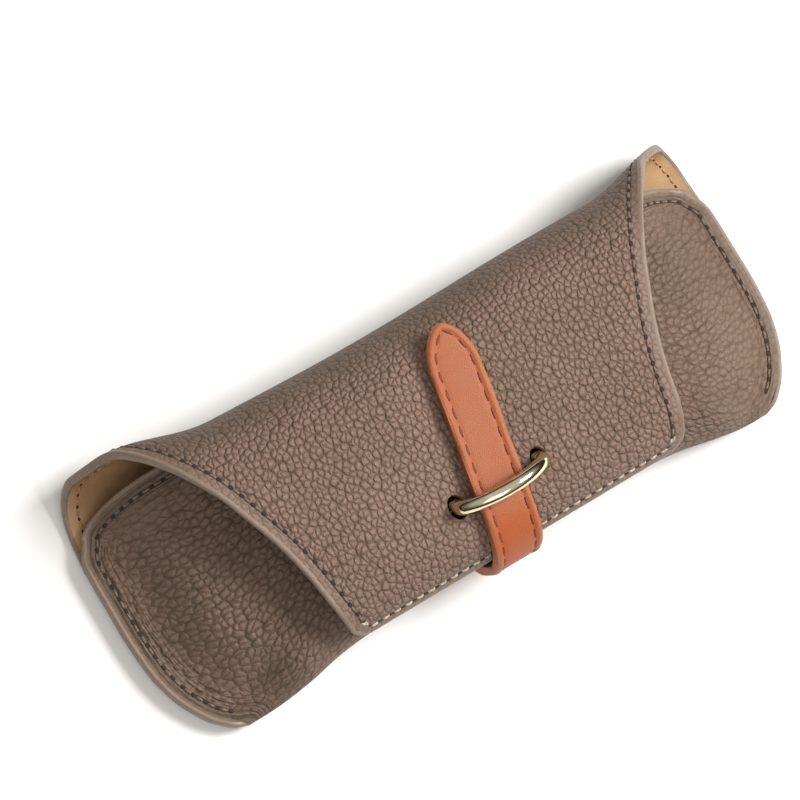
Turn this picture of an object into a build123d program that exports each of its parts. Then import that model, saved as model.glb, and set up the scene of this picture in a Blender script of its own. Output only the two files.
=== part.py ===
from build123d import *
from math import acos, atan2, cos, degrees, hypot, radians, sin, tan
import os

# Fold-over glasses case of soft leather, in millimetres. It lies on its back on z = 0:
# +X runs along the case, +Y towards the rolled fold at the top, +Z out through the flap.
# Walls are drawn as the line of their outer face, then repeated at a depth below it.

# Leather
leather = 1.3
lining = 0.7
wall = leather + lining

# Pocket: one wall from the rolled fold down the back, round the bottom and up the front
half_length = 87.5
loft_half = 89.0
seam_shoulder_y = 2.0
seam_top = (84.6, 33.5)
seam_hip = (85.6, -18.0)
seam_bottom = (72.5, -34.9)
seam_corner = 3.0
bottom_y = -30.5
bottom_reach = 30.0
crown_height = 22.4
crown_y = -4.0
crown_rise = 0.4
bend_lift = 95.0
back_end_y = -18.0
mouth_y = 25.0
mouth_corner = 11.0
mouth_trim_over = 0.5

# Pillow shape: full in the middle, drawn in to a flat sewn border at the ends
border_thick = 4.8
border_width = 3.4
bend_strips = 6
pinch_reach = 15.0
pillow_half = 92.0
pillow_power = 3.0
station_shares = (
    0, 0.3, 0.46, 0.55, 0.59, 0.625, 0.66, 0.69, 0.72, 0.75, 0.78, 0.82, 0.86, 0.9, 0.95, 1
)

# Rolled fold at the top: a tight lower bend, a short upright stretch and a wide upper bend
case_height = 33.5
roll_y = 29.5
lower_bend = 9.5
upper_bend = 16.5
first_hinge = -30.0
third_hinge = 50.0

# Flap, from the top of the roll over the pocket to the bottom edge
flap_slope = 7.0
flap_turn_y = -20.0
flap_turn = 13.0
flap_edge_y = -31.0
flap_half_width = 44.5
flap_corner = 4.0
flap_waist = (50.0, -6.0)
flap_shoulder = (58.5, 14.0)
flap_neck = 66.0

# Ring and the tab that holds its straight bar under the flap
ring_y = -16.0
ring_wire = 3.4
ring_half_width = 11.2
ring_height = 11.4
ring_shoulder = 6.3
ring_corner = 2.6
ring_lean = 12.0
ring_gap = 0.2
hole_width = 4.2
hole_length = 5.8
hole_shift = 0.85
tab_thickness = 0.9
tab_width = 8.0
tab_top_y = -6.0
tab_bottom_angle = 125.0

# Strap, sewn to the bottom bend, passing up over the flap and under the ring
strap_width = 12.2
strap_layer = 1.3
strap_gap = 0.3
root_gap = 0.1
root_end = 230.0
strap_foot = (-4.2, -33.0)
strap_tip = (5.1, 21.0)
strap_point = 10.0
strap_nose = 2.2

# Places that follow from the sizes above
bend_mid = (crown_height - crown_rise) / 2
bend_middle = (bottom_y + bend_mid, bend_mid)
lower_roll = (roll_y - lower_bend, lower_bend)
upper_roll = (roll_y - upper_bend, case_height - upper_bend)
second_hinge_z = (lower_roll[1] + upper_roll[1]) / 2
slope = radians(flap_slope)
inward = (sin(slope), -cos(slope))
crest = (upper_roll[0] - upper_bend * inward[0], upper_roll[1] - upper_bend * inward[1])


def flap_height(y):
    """Height of the flap's outer face where it is flat."""
    return crest[1] - (crest[0] - y) * tan(slope)


turn_middle = (
    flap_turn_y + flap_turn * inward[0],
    flap_height(flap_turn_y) + flap_turn * inward[1],
)
edge_angle = degrees(acos((flap_edge_y - turn_middle[0]) / flap_turn))
bar_length = 2 * ring_half_width + ring_wire + 1
bar_depth = wall + ring_gap + ring_wire / 2
bar_middle = (ring_y + bar_depth * inward[0], flap_height(ring_y) + bar_depth * inward[1])
bar_point = (0, *bar_middle)
lean = radians(90 + flap_slope + ring_lean)


def eased(share):
    """A smooth step: 0 up to a share of 0, 1 from a share of 1."""
    share = min(max(share, 0), 1)
    return share * share * (3 - 2 * share)


def fullness(x, seam_end):
    """How full the pocket is at a station: 1 in the middle, 0 at the border of its end seam."""
    pinch = eased((seam_end - abs(x) - border_width) / pinch_reach)
    return pinch * (1 - (abs(x) / pillow_half) ** pillow_power)


def turned(middle, radius, angle):
    """The point on a circle at an angle in degrees."""
    return (
        middle[0] + radius * cos(radians(angle)),
        middle[1] + radius * sin(radians(angle)),
    )


def front_line(x, depth):
    """Draw a face of the wall at x, from the flat back round the bottom and up the domed front.

    Below the outer face the bottom bend is drawn in flat strips, which keeps the facets few.
    """
    bend_over = bend_mid - border_thick / 2
    bend = border_thick / 2 + bend_over * fullness(x, seam_bottom[0])
    crown_over = crown_height - crown_rise - border_thick
    crown = border_thick + crown_rise + crown_over * fullness(x, half_length)
    rounding = eased((seam_bottom[0] - border_width - abs(x)) / bottom_reach)
    bend_y = seam_bottom[1] + (bottom_y - seam_bottom[1]) * rounding + bend
    back = Line((back_end_y, depth), (bend_y, depth))
    if depth == 0:
        bottom = CenterArc((bend_y, bend), bend, 270, bend_lift - 270)
    else:
        turns = [270 + (bend_lift - 270) * i / bend_strips for i in range(bend_strips + 1)]
        bottom = Polyline([turned((bend_y, bend), bend - depth, turn) for turn in turns])
    reach = crown_y - (bottom @ 1).X
    rise = crown - depth - (bottom @ 1).Y
    dome = (reach**2 + rise**2) / (2 * rise)
    dome_start = degrees(atan2(dome - rise, -reach))
    CenterArc((crown_y, crown - depth - dome), dome, dome_start, 90 - dome_start)
    front = Line((crown_y, crown - depth), (mouth_y, crown - depth))
    return back @ 0, front @ 1


def front_section(x, outer, inner):
    """The wall between two depths, as it is cut across the case at x."""
    with BuildSketch(Plane.YZ.offset(x)) as section:
        with BuildLine():
            outer_ends = front_line(x, outer)
            inner_ends = front_line(x, inner)
            Line(outer_ends[0], inner_ends[0])
            Line(outer_ends[1], inner_ends[1])
        make_face()
    return section.sketch


def front_sections(outer, inner):
    """The sections of one layer of the bottom and front, from the left end to the right."""
    places = sorted({x * side * loft_half for x in station_shares for side in (-1, 1)})
    return [front_section(x, outer, inner) for x in places]


def back_line(depth):
    """Draw the flat back, from the start of the lower bend down to where the front begins."""
    roll = CenterArc(lower_roll, lower_bend - depth, first_hinge, -90 - first_hinge)
    back = Line(roll @ 1, (back_end_y, depth))
    return roll @ 0, back @ 1


def upright_line(depth):
    """Draw the first fold piece: the rest of the lower bend and half the upright stretch."""
    bend = CenterArc(lower_roll, lower_bend - depth, first_hinge, -first_hinge)
    upright = Line(bend @ 1, (roll_y - depth, second_hinge_z))
    return bend @ 0, upright @ 1


def shoulder_line(depth):
    """Draw the second fold piece: the upright's other half and the upper bend's start."""
    upright = Line((roll_y - depth, second_hinge_z), (roll_y - depth, upper_roll[1]))
    bend = CenterArc(upper_roll, upper_bend - depth, 0, third_hinge)
    return upright @ 0, bend @ 1


def flap_line(depth):
    """Draw the flap: the rest of the upper bend, the flat front and the turned-down edge."""
    bend = CenterArc(upper_roll, upper_bend - depth, third_hinge, 90 + flap_slope - third_hinge)
    flat_end = turned(turn_middle, flap_turn - depth, 90 + flap_slope)
    Line(bend @ 1, flat_end)
    start = 90 + flap_slope
    edge = CenterArc(turn_middle, flap_turn - depth, start, edge_angle - start)
    return bend @ 0, edge @ 1


def strip(line, outer, inner):
    """The section of a layer that follows a line, between two depths."""
    with BuildSketch(Plane.YZ) as section:
        with BuildLine():
            outer_ends = line(outer)
            inner_ends = line(inner)
            Line(outer_ends[0], inner_ends[0])
            Line(outer_ends[1], inner_ends[1])
        make_face()
    return section.sketch


# Plan outline of the whole case: straight top and bottom, bowed end seams
with BuildSketch() as seam_outline:
    with BuildLine() as seam_line:
        shoulder = (half_length, seam_shoulder_y)
        Line((0, seam_bottom[1]), seam_bottom)
        hip = TangentArc(shoulder, seam_hip, tangent=(0, -1))
        TangentArc(seam_hip, seam_bottom, tangent=hip % 1)
        TangentArc(shoulder, seam_top, tangent=(0, 1))
        Line(seam_top, (0, seam_top[1]))
        mirror(seam_line.line, about=Plane.YZ)
    make_face()
    fillet(seam_outline.vertices().group_by(Axis.Y)[0], radius=seam_corner)

# What the rounded corners of the pocket's mouth take off its front, above the seam's middle
corner_x = half_length - 0.9 - mouth_corner
corner_y = mouth_y - mouth_corner
with BuildSketch(Plane.XY.offset(border_thick / 2)) as mouth_trim:
    with Locations((corner_x, corner_y)):
        Rectangle(2 * mouth_corner, mouth_corner + mouth_trim_over, align=(Align.MIN, Align.MIN))
        Circle(mouth_corner, mode=Mode.SUBTRACT)
    mirror(about=Plane.YZ)

# Plan outline of the flap: a narrow bottom edge that widens to the neck below the roll
neck = turned(upper_roll, upper_bend, third_hinge)
with BuildSketch(Plane.XY.offset(-1)) as flap_outline:
    with BuildLine() as flap_side:
        bottom = (flap_half_width, flap_edge_y - 1)
        Line((0, bottom[1]), bottom)
        side = Spline(
            bottom, flap_waist, flap_shoulder, (flap_neck, neck[0]), tangents=((0.05, 1), (1, 0.9))
        )
        top = Line(side @ 1, (flap_neck + roll_y - neck[0], roll_y + 1))
        Line(top @ 1, (0, roll_y + 1))
        mirror(flap_side.line, about=Plane.YZ)
    make_face()
    fillet(flap_outline.vertices().group_by(Axis.Y)[0], radius=flap_corner)

# Outline of the upper fold, seen from behind: it flares from the neck to the ends of the roll
with BuildSketch(Plane.XZ.offset(-roll_y - 1)) as shoulder_outline:
    with BuildLine() as shoulder_side:
        roll_end = seam_top[0] + 0.8
        Line((0, 0), (roll_end, 0))
        upright = Line((roll_end, 0), (roll_end, second_hinge_z))
        flare = Spline(upright @ 1, (flap_neck, neck[1]), tangents=((0, 1), (-1, 0.9)))
        flare_end = Line(flare @ 1, (flap_neck - roll_y + neck[0], case_height + 1))
        Line(flare_end @ 1, (0, case_height + 1))
        mirror(shoulder_side.line, about=Plane.YZ)
    make_face()

# Pocket: a flat back, and a bottom and front lofted in straight strips between the sections
with BuildPart() as body_leather:
    extrude(strip(back_line, 0, leather), amount=loft_half, both=True)
    loft(front_sections(0, leather), ruled=True)
    extrude(seam_outline.sketch, amount=2 * case_height, mode=Mode.INTERSECT)
    extrude(mouth_trim.sketch, amount=case_height, mode=Mode.SUBTRACT)
body_leather.part.label = "body_leather"
export_step(body_leather.part, "parts/body_leather.step")

with BuildPart() as body_lining:
    extrude(strip(back_line, leather, wall), amount=loft_half, both=True)
    loft(front_sections(leather, wall), ruled=True)
    extrude(seam_outline.sketch, amount=2 * case_height, mode=Mode.INTERSECT)
    extrude(mouth_trim.sketch, amount=case_height, mode=Mode.SUBTRACT)
body_lining.part.label = "body_lining"
export_step(body_lining.part, "parts/body_lining.step")

# Rolled fold, first piece
with BuildPart() as fold_leather_lower:
    extrude(strip(upright_line, 0, leather), amount=loft_half, both=True)
    extrude(seam_outline.sketch, amount=2 * case_height, mode=Mode.INTERSECT)
fold_leather_lower.part.label = "fold_leather_lower"
export_step(fold_leather_lower.part, "parts/fold_leather_lower.step")

with BuildPart() as fold_lining_lower:
    extrude(strip(upright_line, leather, wall), amount=loft_half, both=True)
    extrude(seam_outline.sketch, amount=2 * case_height, mode=Mode.INTERSECT)
fold_lining_lower.part.label = "fold_lining_lower"
export_step(fold_lining_lower.part, "parts/fold_lining_lower.step")

# Rolled fold, second piece, which starts to narrow towards the flap
with BuildPart() as fold_leather_upper:
    extrude(strip(shoulder_line, 0, leather), amount=loft_half, both=True)
    extrude(shoulder_outline.sketch, amount=2 * roll_y, mode=Mode.INTERSECT)
fold_leather_upper.part.label = "fold_leather_upper"
export_step(fold_leather_upper.part, "parts/fold_leather_upper.step")

with BuildPart() as fold_lining_upper:
    extrude(strip(shoulder_line, leather, wall), amount=loft_half, both=True)
    extrude(shoulder_outline.sketch, amount=2 * roll_y, mode=Mode.INTERSECT)
fold_lining_upper.part.label = "fold_lining_upper"
export_step(fold_lining_upper.part, "parts/fold_lining_upper.step")

# Oval holes that the ring's legs pass through, square to the flap
hole_y = ring_y - hole_shift * cos(slope)
hole_plane = Plane(
    origin=(0, hole_y, flap_height(hole_y)),
    x_dir=(1, 0, 0),
    z_dir=(0, -inward[0], -inward[1]),
)
with BuildSketch(hole_plane) as ring_holes:
    with Locations((-ring_half_width, 0), (ring_half_width, 0)):
        SlotOverall(hole_length, hole_width, rotation=90)

# Flap leather and its lining
with BuildPart() as flap_leather:
    extrude(strip(flap_line, 0, leather), amount=loft_half, both=True)
    extrude(flap_outline.sketch, amount=2 * case_height, mode=Mode.INTERSECT)
    extrude(ring_holes.sketch, amount=2 * wall, both=True, mode=Mode.SUBTRACT)
flap_leather.part.label = "flap_leather"
export_step(flap_leather.part, "parts/flap_leather.step")

with BuildPart() as flap_lining:
    extrude(strip(flap_line, leather, wall), amount=loft_half, both=True)
    extrude(flap_outline.sketch, amount=2 * case_height, mode=Mode.INTERSECT)
    extrude(ring_holes.sketch, amount=2 * wall, both=True, mode=Mode.SUBTRACT)
flap_lining.part.label = "flap_lining"
export_step(flap_lining.part, "parts/flap_lining.step")

# Ring: a straight bar under the flap, and a wire arch whose legs come up out of the bar's ends
ring_plane = Plane(origin=bar_point, x_dir=(1, 0, 0), z_dir=(0, -sin(lean), cos(lean)))
with BuildLine(ring_plane) as ring_arch:
    knee_left = (-ring_half_width, ring_shoulder)
    knee_right = (ring_half_width, ring_shoulder)
    Line((-ring_half_width, 0), knee_left)
    ThreePointArc(knee_left, (0, ring_height), knee_right)
    Line(knee_right, (ring_half_width, 0))
    knees = ring_arch.vertices().filter_by(lambda v: abs(v.Z - bar_point[2]) > 0.1)
    fillet(knees, radius=ring_corner)
ring_path = ring_arch.wire()
with BuildPart() as ring:
    with BuildSketch(Plane(origin=ring_path @ 0, z_dir=ring_path % 0)):
        Circle(ring_wire / 2)
    sweep(path=ring_path)
    with Locations(bar_point):
        Cylinder(ring_wire / 2, bar_length, rotation=(0, 90, 0))
ring.part.label = "ring"
export_step(ring.part, "parts/ring.step")


def tab_line(depth):
    """Draw the ring tab's line along the flap's lining, flat and then round the edge's turn."""
    top_z = flap_height(tab_top_y)
    top = (tab_top_y + depth * inward[0], top_z + depth * inward[1])
    start = 90 + flap_slope
    flat = Line(top, turned(turn_middle, flap_turn - depth, start))
    bend = CenterArc(turn_middle, flap_turn - depth, start, tab_bottom_angle - start)
    return flat @ 0, bend @ 1


# Ring tab: a strip sewn inside the flap, bulged round the ring's bar
with BuildPart() as ring_tab:
    extrude(strip(tab_line, wall, wall + tab_thickness), amount=tab_width / 2, both=True)
    with BuildSketch(Plane.YZ):
        with Locations(bar_middle):
            Circle(ring_wire / 2 + ring_gap + tab_thickness)
    extrude(amount=tab_width / 2, both=True)
    with BuildSketch(Plane.YZ):
        with Locations(bar_middle):
            Circle(ring_wire / 2 + ring_gap + 0.05)
    extrude(amount=tab_width, both=True, mode=Mode.SUBTRACT)
    extrude(strip(tab_line, 0, wall), amount=tab_width, both=True, mode=Mode.SUBTRACT)
ring_tab.part.label = "ring_tab"
export_step(ring_tab.part, "parts/ring_tab.step")

# Strap: its line leaves the flap's turn and meets the bottom bend on their common tangent
centre_gap = (turn_middle[0] - bend_middle[0], turn_middle[1] - bend_middle[1])
radius_gap = bend_mid + root_gap - flap_turn - strap_gap
tangent_angle = degrees(
    atan2(centre_gap[1], centre_gap[0]) + acos(radius_gap / hypot(*centre_gap))
)


def tongue_line(height):
    """Draw the strap's free part at a height above its under face."""
    radius = flap_turn + strap_gap + height
    start = 90 + flap_slope
    turn_start = turned(turn_middle, radius, start)
    tip_y = strap_tip[1] + 2
    tip_z = turn_start[1] + (tip_y - turn_start[0]) * tan(slope)
    flat = Line((tip_y, tip_z), turn_start)
    bend = CenterArc(turn_middle, radius, start, tangent_angle - start)
    foot = turned(bend_middle, bend_mid + root_gap + height, tangent_angle)
    Line(bend @ 1, foot)
    return flat @ 0, foot


def root_line(height):
    """Draw the strap's sewn end round the bottom bend."""
    radius = bend_mid + root_gap + height
    arc = CenterArc(bend_middle, radius, tangent_angle, root_end - tangent_angle)
    return arc @ 0, arc @ 1


run = (strap_tip[0] - strap_foot[0], strap_tip[1] - strap_foot[1])
strap_length = hypot(*run)
strap_plane = Plane(
    origin=(*strap_foot, -1), x_dir=(run[1] / strap_length, -run[0] / strap_length, 0)
)
with BuildSketch(strap_plane) as strap_outline:
    with BuildLine() as strap_side:
        half = strap_width / 2
        shoulder_point = (half, strap_length - strap_point)
        Line((0, -strap_width), (half, -strap_width))
        edge = Line((half, -strap_width), shoulder_point)
        TangentArc(shoulder_point, (0, strap_length + 1.2), tangent=edge % 1)
        mirror(strap_side.line, about=Plane.YZ)
    make_face()
    fillet(strap_outline.vertices().sort_by(Axis.Y)[-1], radius=strap_nose)

for name, line, low, high in (
    ("strap_backing", tongue_line, 0, strap_layer),
    ("strap_face", tongue_line, strap_layer, 2 * strap_layer),
    ("strap_root_backing", root_line, 0, strap_layer),
    ("strap_root_face", root_line, strap_layer, 2 * strap_layer),
):
    with BuildPart() as strap_piece:
        extrude(strip(line, low, high), amount=2 * strap_width, both=True)
        extrude(strap_outline.sketch, amount=2 * case_height, mode=Mode.INTERSECT)
    strap_piece.part.label = name
    export_step(strap_piece.part, f"parts/{name}.step")
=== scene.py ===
# %% [markdown]
# # A fold-over leather glasses case
# The case is one long piece of pebbled leather with a tan lining. It runs down the back, round
# the bottom and up the front as a pocket, and its other end rolls over the top as a flap. An
# orange strap, sewn to the bottom, comes up over the flap and under a metal ring. The solid
# model gives every place and joint, so it is loaded first and nothing in it is moved.

import math

import bpy
import numpy as np
from mathutils import Matrix, Vector


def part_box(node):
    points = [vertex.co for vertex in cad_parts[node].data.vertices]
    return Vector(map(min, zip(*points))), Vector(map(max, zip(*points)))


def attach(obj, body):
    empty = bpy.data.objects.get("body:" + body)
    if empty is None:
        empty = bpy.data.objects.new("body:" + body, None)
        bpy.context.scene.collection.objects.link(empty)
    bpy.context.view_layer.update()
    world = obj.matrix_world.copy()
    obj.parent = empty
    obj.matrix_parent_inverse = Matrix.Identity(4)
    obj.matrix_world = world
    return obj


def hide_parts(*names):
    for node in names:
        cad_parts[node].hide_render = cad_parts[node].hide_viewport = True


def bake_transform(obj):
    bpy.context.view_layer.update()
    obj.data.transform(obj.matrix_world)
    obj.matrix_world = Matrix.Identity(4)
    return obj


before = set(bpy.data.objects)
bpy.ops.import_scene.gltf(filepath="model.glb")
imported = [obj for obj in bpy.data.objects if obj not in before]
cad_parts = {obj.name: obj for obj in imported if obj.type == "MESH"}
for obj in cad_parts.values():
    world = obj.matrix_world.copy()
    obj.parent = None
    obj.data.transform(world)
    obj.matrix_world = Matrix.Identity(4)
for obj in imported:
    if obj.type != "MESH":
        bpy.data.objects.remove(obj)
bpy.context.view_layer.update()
MM = 0.001

# %% [markdown]
# ## Camera
# The photograph is taken from almost straight above the flap, with the case slanting across
# the picture. The camera's directions and place were worked out from points of known size, so
# the render and the photograph can be laid over each other. The lens is long, because the
# photograph shows little perspective.

# %% Place the camera
camera_right = Vector((0.8395, -0.5137, 0.1770))
camera_down = Vector((-0.4855, -0.8555, -0.1801))
camera_forward = Vector((0.2439, 0.0653, -0.9676))
camera_place = Vector((-176.7, -34.0, 691.6)) * MM
camera_data = bpy.data.cameras.new("camera")
camera_data.lens = 136.08
camera_data.sensor_width = 36.0
camera_data.clip_start = 0.01


def placed(name, data):
    """A new object in the scene."""
    made = bpy.data.objects.new(name, data)
    bpy.context.scene.collection.objects.link(made)
    return made


camera = placed("camera", camera_data)
turned = Matrix((camera_right, -camera_down, -camera_forward)).transposed().to_4x4()
camera.matrix_world = Matrix.Translation(camera_place) @ turned
bpy.context.scene.camera = camera
print("camera height, mm:", round(camera_place.z / MM))

# %% [markdown]
# ## Curves through measured points
# Leather has no corners unless it is cut, so every changing size, such as the flap's width or
# the pocket's height, is a smooth curve through a few measured points. It is a function and
# not a drawn curve, because it is asked for any place along the case.

# %% Smooth curves


def eased(t):
    """0 before t = 0, 1 after t = 1, and a smooth step between."""
    t = np.clip(t, 0, 1)
    return t * t * (3 - 2 * t)


def hump(t):
    """1 at t = 0, and falling smoothly to 0 on both sides."""
    return np.exp(-(t**2))


def unit(arrows):
    """The same directions with a length of 1."""
    return arrows / np.maximum(np.linalg.norm(arrows, axis=-1, keepdims=True), 1e-9)


def through(*points):
    """A smooth curve through (place, value) points, as a function of the place."""
    place, value = np.array(points, float).T
    slope = np.gradient(value, place)

    def curve(where):
        where = np.clip(where, place[0], place[-1])
        i = np.clip(np.searchsorted(place, where) - 1, 0, len(place) - 2)
        span = place[i + 1] - place[i]
        t = (where - place[i]) / span
        start = (1 + 2 * t) * (1 - t) ** 2 * value[i] + t * (1 - t) ** 2 * span * slope[i]
        end = t**2 * (3 - 2 * t) * value[i + 1] - t**2 * (1 - t) * span * slope[i + 1]
        return start + end

    return curve


def arc(radius, turn):
    """The length of an arc and its turn in degrees."""
    return radius * math.radians(abs(turn)), turn


def bent_line(start, facing, side, runs):
    """Tables of length, y and z along straight runs and arcs, each (length, turn)."""
    ends = np.cumsum([0] + [length for length, _ in runs])
    turns = facing + np.cumsum([0] + [turn for _, turn in runs])
    length = np.linspace(0, ends[-1], 6001)
    middle = (length[1:] + length[:-1]) / 2
    heading = np.radians(np.interp(middle, ends, turns) + 90 * side)
    step = length[1] - length[0]
    y = start[0] + np.concatenate([[0], np.cumsum(np.cos(heading))]) * step
    z = start[1] + np.concatenate([[0], np.cumsum(np.sin(heading))]) * step
    return length, y, z


def followed(line, s, e):
    """The y and z places on a bent line, and its direction there, over a length of 2 e."""
    s = np.array([s - e, s, s + e])
    y, z = (np.interp(s, line[0], places) for places in line[1:])
    step_y, step_z = y[2] - y[0], z[2] - z[0]
    size = np.hypot(step_y, step_z)
    return y[1], z[1], step_y / size, step_z / size


print("halfway up a smooth step:", eased(0.5))

# %% [markdown]
# ## The roll and the flap as one surface
# From the back, the leather goes round a tight lower bend, a short upright stretch and a wide
# upper bend, and then lies flat over the pocket until its edge turns down. Because leather
# bends without stretching, a point on it is given by how far across it is and how far along,
# and the same two numbers lay out the grain, the stitches and the painted edge.

# %% Roll and flap line
leather = 1.3
lining = 0.7
wall = leather + lining
low_bend = 9.5
high_bend = 16.5
roll_y = 29.5
case_height = 33.5
flap_slope = 7.0
flap_flat = 31.22
turn_bend = 13.0
turn_angle = 68.47
upright = case_height - high_bend - low_bend
back_run = 6.0
fold_start = (roll_y - low_bend - back_run, 0.0)
fold_runs = (
    (back_run, 0),
    arc(low_bend, 90),
    (upright, 0),
    arc(high_bend, 90 + flap_slope),
    (flap_flat, 0),
    arc(turn_bend, turn_angle),
)
fold_line = bent_line(fold_start, -90, 1, fold_runs)
flap_end = fold_line[0][-1]
upright_start = back_run + fold_runs[1][0]
high_start = upright_start + upright
flat_start = high_start + fold_runs[3][0]
turn_start = flat_start + flap_flat
ear_flare = 5.0
ear_stretch = 0.8
ear_start = 52.0
ear_shift = 4.0
ear_run = 26.0
roll_sag = 1.2
sag_x = -12.0
sag_run = 56.0
hole_x = 11.2
hole_s = turn_start - 3.2
dimple_depth = 0.6
dimple_across = 3.6
dimple_along = 4.2


def fold_face(x, s):
    """The outer face of the roll and flap, x across and s along the leather."""
    y, z = (np.interp(s, fold_line[0], places) for places in fold_line[1:])
    reach = np.clip((y - fold_start[0]) / (roll_y - fold_start[0]), 0, 1)
    ear = eased((np.abs(x) - ear_start - ear_shift * np.sign(x)) / ear_run)
    drift = ear_flare * ear - roll_sag * (1 - eased(np.abs(x - sag_x) / sag_run))
    dimple = hump((np.abs(x) - hole_x) / dimple_across) * hump((s - hole_s) / dimple_along)
    return np.stack(
        [x + ear_stretch * ear * reach, y + drift * reach, z - dimple_depth * dimple], -1
    )


print("leather from the back to the flap's edge, mm:", round(flap_end, 1))

# %% [markdown]
# ## Outline of the flap
# The leather is as wide as the pocket at the roll, then the cut sweeps in to the neck and runs
# down to a narrower bottom edge with two small rounded corners. The widths were measured from
# the photograph at eighteen places.

# %% Flap outline
flap_corner = 4.0
places_per_mm = 3
neck_s = high_start + 14
flap_half = through(
    (0.0, 87.2), (back_run, 86.7), (back_run + 5, 85.7), (back_run + 10, 83.7),
    (upright_start, 81.2), (upright_start + 3.6, 78.6), (high_start, 75.4),
    (high_start + 4, 72.2), (high_start + 9, 69.1), (neck_s, 65.4),
    (high_start + 19, 61.9), (flat_start - 2, 57.8), (flat_start + 6, 54.4),
    (flat_start + 15, 51.0), (flat_start + 24, 48.6), (turn_start + 3, 46.8),
    (turn_start + 10, 45.4), (flap_end, 44.2),
)


def corner_cut(left):
    """How far a rounded corner draws in an edge, with this much length left before its end."""
    into = np.clip(flap_corner - left, 0, flap_corner)
    return flap_corner - np.sqrt(flap_corner**2 - into**2)


def flap_width(s):
    """Half the leather's width, with the rounded corners of the flap's bottom edge."""
    return flap_half(s) - corner_cut(flap_end - s)


def flap_path(start, end):
    """The right-hand cut edge as (x, s) points. At the flap's end it goes on to the middle."""
    count = int((end - start) * places_per_mm)
    if end < flap_end:
        s = np.linspace(start, end, max(8, count))
        return np.stack([flap_width(s), s], -1)
    s = np.linspace(start, flap_end - flap_corner, count)
    side = np.stack([flap_width(s), s], -1)
    angle = np.linspace(0, math.pi / 2, 14)[1:]
    arc_x = flap_half(flap_end) - flap_corner * (1 - np.cos(angle))
    arc_s = flap_end - flap_corner * (1 - np.sin(angle))
    bottom_x = np.linspace(arc_x[-1], 0, 80)[1:]
    bottom = np.stack([bottom_x, np.full_like(bottom_x, flap_end)], -1)
    return np.concatenate([side, np.stack([arc_x, arc_s], -1), bottom])


print("half widths at the neck and the edge, mm:", flap_half(neck_s), flap_half(flap_end))

# %% [markdown]
# ## The pocket as a surface
# Across its middle the pocket is a flat back, a round bottom and a gently domed front. Towards
# the ends it gets thinner, until the front and back are sewn together in a flat border, which
# is what gives the ends their pillow shape. The height is worked out from the dome, and then
# eased down to the border by the distance from the sewn edge.

# %% Pocket surface
border_thick = 4.8
border_width = 3.4
crown_y = -4.0
crown_rise = 0.4
bend_mid = 11.0
pillow_half = 92.0
pillow_power = 3.0
pinch_reach = 16.0
pinch_power = 0.8
low_x, low_y = 72.6, -34.8
mouth_end = (84.4, 21.3)
mouth_round = 2.6
mouth_round_start = 13.0
mouth_round_run = 9.0
bottom_y = through(
    (0, -30.5), (30, -30.6), (48, -31.8), (57, -33.6), (66, -34.7), (low_x, low_y)
)
mouth_y = through(
    (0, 25), (50, 25.4), (68, 25.8), (74, 25.4), (79, 24.3), (82, 23.1), mouth_end
)
seam_x = through(
    (low_y, low_x), (-33.4, 75.6), (-31.3, 78.2), (-25.0, 82.8), (-16.5, 86.0),
    (-8.0, 87.1), (5.0, 87.3), (14.0, 87.2), (22.0, 86.7),
)


def front_seam_x(y):
    """The front's end, which leaves the seam to round into the pocket's mouth."""
    return seam_x(y) - mouth_round * eased((y - mouth_round_start) / mouth_round_run) ** 2


seam_y = np.linspace(low_y, 23, 200)
seam_points = np.stack([seam_x(seam_y), seam_y], -1)


def distance_to(points, x, y):
    """The least distance from each place to a line of points, taking left and right alike."""
    flat = np.stack([np.abs(x).ravel(), np.asarray(y, float).ravel()], -1)
    gaps = np.linalg.norm(flat[:, None, :] - points[None, :, :], axis=-1)
    return gaps.min(axis=1).reshape(np.shape(x))


def fullness(x):
    """How full the pocket is across the case: 1 in the middle, 0 past the ends."""
    return 1 - (np.minimum(np.abs(x), pillow_half) / pillow_half) ** pillow_power


def bend_radius(x):
    """The outer radius of the bottom bend."""
    return border_thick / 2 + (bend_mid - border_thick / 2) * fullness(x)


def pinch(x, y):
    """0 on the sewn border, 1 where the pocket has its full height."""
    return eased((distance_to(seam_points, x, y) - border_width) / pinch_reach) ** pinch_power


def dome(x, y):
    """The front's height before the ends are drawn in."""
    bend = bend_radius(x)
    crown = 2 * bend + crown_rise
    middle = bottom_y(np.abs(x)) + bend
    radius = ((crown_y - middle) ** 2 / (crown - 2 * bend) + crown) / 2
    return crown - radius + np.sqrt(np.maximum(radius**2 - (y - crown_y) ** 2, 0))


def front_face(x, y):
    """The outer face of the pocket's front."""
    height = border_thick + (dome(x, y) - border_thick) * pinch(x, y)
    return np.stack([x, y, np.maximum(height, border_thick)], -1)


def back_face(x, y):
    """The outer face of the flat back."""
    return np.stack([x, y, np.zeros_like(x)], -1)


print("front height in the middle and near an end, mm:",
      front_face(np.array([0.0]), np.array([0.0]))[0, 2].round(1),
      front_face(np.array([78.0]), np.array([0.0]))[0, 2].round(1))

# %% [markdown]
# ## From a surface to a leather sheet
# A sheet starts as a flat grid primitive with enough rows and columns, and Solidify gives it
# its second face and its cut edges. Then every point is put where the surface says. Sculpting
# would give a similar form, but not one whose grain can be laid out flat. Columns crowd towards
# the cut edges, where the leather is pressed and rounded.

# %% Sheet maker


def alone(obj):
    """Select one object and make it active."""
    bpy.ops.object.select_all(action="DESELECT")
    obj.select_set(True)
    bpy.context.view_layer.objects.active = obj


def apply_all(obj):
    """Apply every modifier of an object, in order."""
    alone(obj)
    for modifier in list(obj.modifiers):
        bpy.ops.object.modifier_apply(modifier=modifier.name)


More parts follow.
